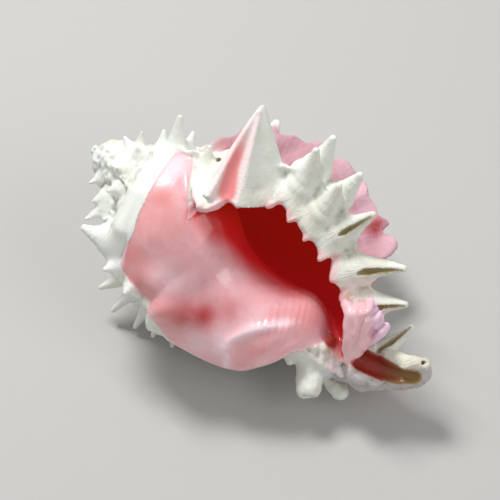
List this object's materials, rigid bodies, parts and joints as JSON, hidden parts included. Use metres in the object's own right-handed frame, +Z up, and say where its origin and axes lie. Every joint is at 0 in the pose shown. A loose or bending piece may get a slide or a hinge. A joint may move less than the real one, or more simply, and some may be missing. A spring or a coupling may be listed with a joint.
{
  "type": "murex shell",
  "caption": "Spiny pink-mouthed sea snail shell lying on its back: coiled whorls, spined and frilled ribs, a wide oval mouth with a glossy shield, and a bent open canal.",
  "frame": {"origin": "centre of the bounding box, at the surface that the shell rests on", "axes": "+Z up as the shell rests on its back; the mouth faces up and towards -Y; the apex is towards -X and +Y, the canal towards +X and -Y"},
  "size_m": [0.1074, 0.0852, 0.0824],
  "materials": {
    "shell_chalk": "chalky white outside with cream and grey tints; the mouth is glossy pink porcelain, deep red inside"
  },
  "bodies": {
    "root": {"shell": "shell_chalk"}
  },
  "joints": []
}
